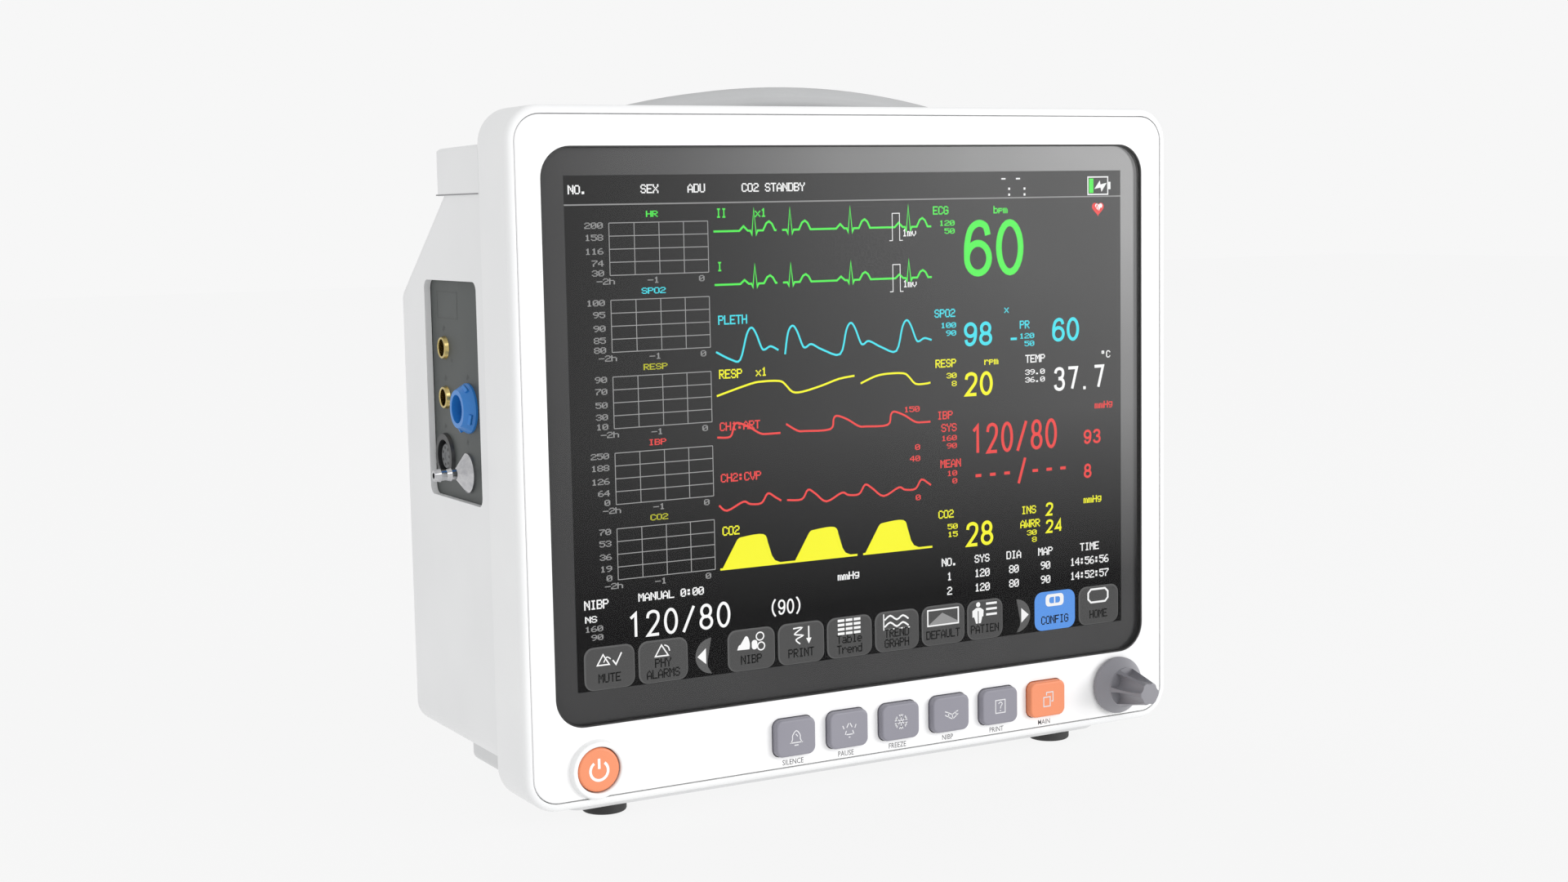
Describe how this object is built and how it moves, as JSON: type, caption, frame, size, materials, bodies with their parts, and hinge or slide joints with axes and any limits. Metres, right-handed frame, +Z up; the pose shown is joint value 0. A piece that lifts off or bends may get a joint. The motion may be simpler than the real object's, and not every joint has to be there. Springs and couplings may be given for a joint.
{
  "type": "patient monitor",
  "caption": "Bedside patient monitor with an inclined-back housing, wide screen, keys and a rotary knob under it, side connector panel, side chart recorder and arched carry handle.",
  "frame": {"origin": "centre of the bottom of the bounding box, on the surface that the feet stand on", "axes": "+Z up, +X to the right as one faces the screen, +Y from the screen to the back"},
  "size_m": [0.3006, 0.153, 0.2729],
  "materials": {
    "white_plastic": "fine satin",
    "face_white": "smooth satin gloss",
    "gasket_black": "matt",
    "front_glass": "polished",
    "display_black": "gloss",
    "sheet_steel": "brushed",
    "key_grey": "satin",
    "board_green": "satin",
    "button_orange": "satin",
    "knob_grey": "satin",
    "handle_grey": "satin",
    "panel_grey": "satin",
    "black_plastic": "satin",
    "socket_blue": "gloss",
    "insulator_white": "matt",
    "gold_contact": "polished",
    "bright_nickel": "polished",
    "cast_alloy": "fine"
  },
  "bodies": {
    "case": {"air_hose": "gasket_black", "base_inserts": "gold_contact", "base_pan": "white_plastic", "battery_cover": "white_plastic", "battery_pack": "black_plastic", "battery_tray": "panel_grey", "carry_handle": "handle_grey", "case_screws": "sheet_steel", "chassis": "sheet_steel", "connector_panel": "panel_grey", "cuff_nozzle": "bright_nickel", "cuff_pump": "cast_alloy", "display_bracket": "sheet_steel", "display_glass": "front_glass", "display_module": "display_black", "door_pin": "sheet_steel", "earth_stud": "bright_nickel", "ecg_core": "insulator_white", "ecg_socket": "socket_blue", "encoder": "cast_alloy", "encoder_nut": "sheet_steel", "face_plate": "face_white", "feet": "gasket_black", "front_housing": "white_plastic", "fuse_holders": "black_plastic", "inlet_blades": "gold_contact", "key_board": "board_green", "main_board": "board_green", "mains_inlet": "black_plastic", "measuring_board": "board_green", "network_port": "cast_alloy", "power_board": "board_green", "power_ring": "white_plastic", "power_supply": "board_green", "print_head": "cast_alloy", "probe_core": "black_plastic", "probe_socket": "black_plastic", "rear_housing": "white_plastic", "recorder_case": "panel_grey", "recorder_motor": "sheet_steel", "release_valve": "gold_contact", "speaker": "black_plastic", "temperature_jacks": "gold_contact", "top_cover": "white_plastic", "window_gasket": "gasket_black"},
    "key_silence": {"key_silence": "key_grey"},
    "key_pause": {"key_pause": "key_grey"},
    "key_freeze": {"key_freeze": "key_grey"},
    "key_cuff": {"key_cuff": "key_grey"},
    "key_print": {"key_print": "key_grey"},
    "key_menu": {"key_menu": "key_grey"},
    "power_button": {"power_button": "button_orange"},
    "encoder_plunger": {"encoder_plunger": "cast_alloy"},
    "knob": {"knob": "knob_grey", "encoder_shaft": "bright_nickel"},
    "recorder_door": {"recorder_door": "white_plastic"},
    "paper_roll": {"paper_roll": "insulator_white"},
    "platen": {"platen_roller": "gasket_black", "platen_gear": "sheet_steel"},
    "motor_pinion": {"motor_pinion": "gold_contact"}
  },
  "joints": [
    {"name": "key_silence_press", "type": "slide", "parent": "case", "child": "key_silence", "axis": [0, 1, 0], "range_m": [0, 0.001], "stiffness_N_per_m": 800, "springref_m": -0.001},
    {"name": "key_pause_press", "type": "slide", "parent": "case", "child": "key_pause", "axis": [0, 1, 0], "range_m": [0, 0.001], "stiffness_N_per_m": 800, "springref_m": -0.001},
    {"name": "key_freeze_press", "type": "slide", "parent": "case", "child": "key_freeze", "axis": [0, 1, 0], "range_m": [0, 0.001], "stiffness_N_per_m": 800, "springref_m": -0.001},
    {"name": "key_cuff_press", "type": "slide", "parent": "case", "child": "key_cuff", "axis": [0, 1, 0], "range_m": [0, 0.001], "stiffness_N_per_m": 800, "springref_m": -0.001},
    {"name": "key_print_press", "type": "slide", "parent": "case", "child": "key_print", "axis": [0, 1, 0], "range_m": [0, 0.001], "stiffness_N_per_m": 800, "springref_m": -0.001},
    {"name": "key_menu_press", "type": "slide", "parent": "case", "child": "key_menu", "axis": [0, 1, 0], "range_m": [0, 0.001], "stiffness_N_per_m": 800, "springref_m": -0.001},
    {"name": "power_button_press", "type": "slide", "parent": "case", "child": "power_button", "axis": [0, 1, 0], "range_m": [0, 0.001], "stiffness_N_per_m": 800, "springref_m": -0.001},
    {"name": "encoder_press", "type": "slide", "parent": "case", "child": "encoder_plunger", "axis": [0, 1, 0], "range_m": [0, 0.0008], "stiffness_N_per_m": 1200, "springref_m": -0.001},
    {"name": "knob_turn", "type": "hinge", "parent": "encoder_plunger", "child": "knob", "pos_m": [0.12345, -0.0535, 0.0257], "axis": [0, 1, 0], "continuous": true},
    {"name": "recorder_door_hinge", "type": "hinge", "parent": "case", "child": "recorder_door", "pos_m": [0.14645, 0.0205, 0.0758], "axis": [0, 1, 0], "range_deg": [0, 82]},
    {"name": "paper_roll_spin", "type": "hinge", "parent": "case", "child": "paper_roll", "pos_m": [0.12295, 0.0205, 0.0979], "axis": [0, 1, 0], "continuous": true},
    {"name": "platen_spin", "type": "hinge", "parent": "case", "child": "platen", "pos_m": [0.13805, 0.0205, 0.1286], "axis": [0, 1, 0], "continuous": true},
    {"name": "motor_spin", "type": "hinge", "parent": "case", "child": "motor_pinion", "pos_m": [0.12605, 0.0205, 0.1286], "axis": [0, 1, 0], "continuous": true}
  ],
  "couplings": [
    {"joint": "motor_spin", "follows": "platen_spin", "ratio": -1.4}
  ]
}
